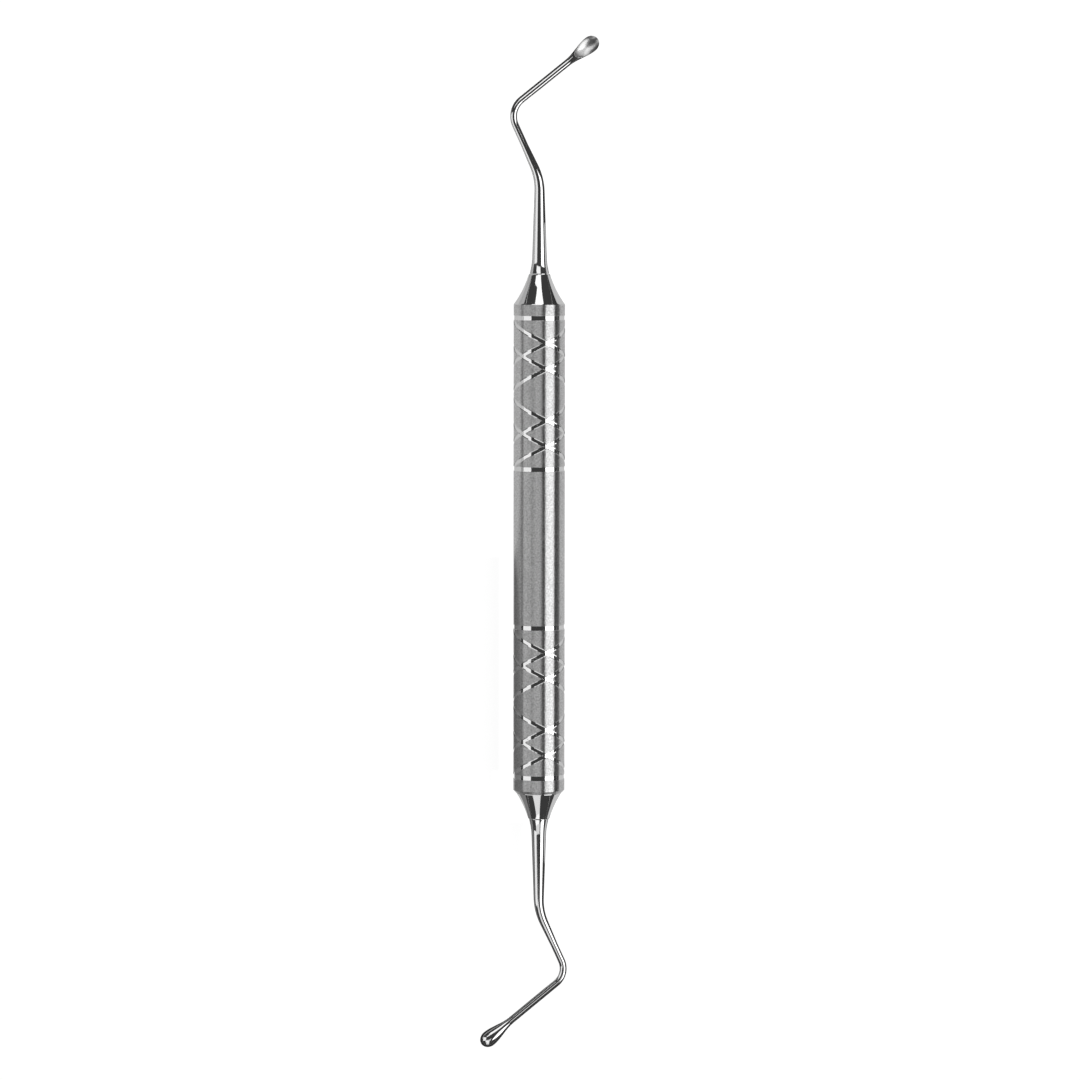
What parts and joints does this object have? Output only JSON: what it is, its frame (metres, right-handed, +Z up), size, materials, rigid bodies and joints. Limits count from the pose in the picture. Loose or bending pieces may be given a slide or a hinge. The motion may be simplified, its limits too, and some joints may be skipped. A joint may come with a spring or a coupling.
{
  "type": "bone curette",
  "caption": "Double-ended bone curette: round hollow handle with polished rings and crossing bands, a cone at each end, and bent tapered shanks with hollow-ground spoons.",
  "frame": {"origin": "on the resting surface, directly below mid-handle, which is the centre of the bounding box seen from above", "axes": "+Y along the handle towards the end whose spoon opens upward, +X to the side that this spoon points to, +Z up from the surface the curette lies on"},
  "size_m": [0.0207, 0.1778, 0.009],
  "materials": {
    "satin_handle": "satin",
    "polished_steel": "polished"
  },
  "bodies": {
    "root": {"handle_tube": "satin_handle", "upper_end_cone": "polished_steel", "lower_end_cone": "polished_steel", "upper_working_end": "polished_steel", "lower_working_end": "polished_steel"}
  },
  "joints": []
}
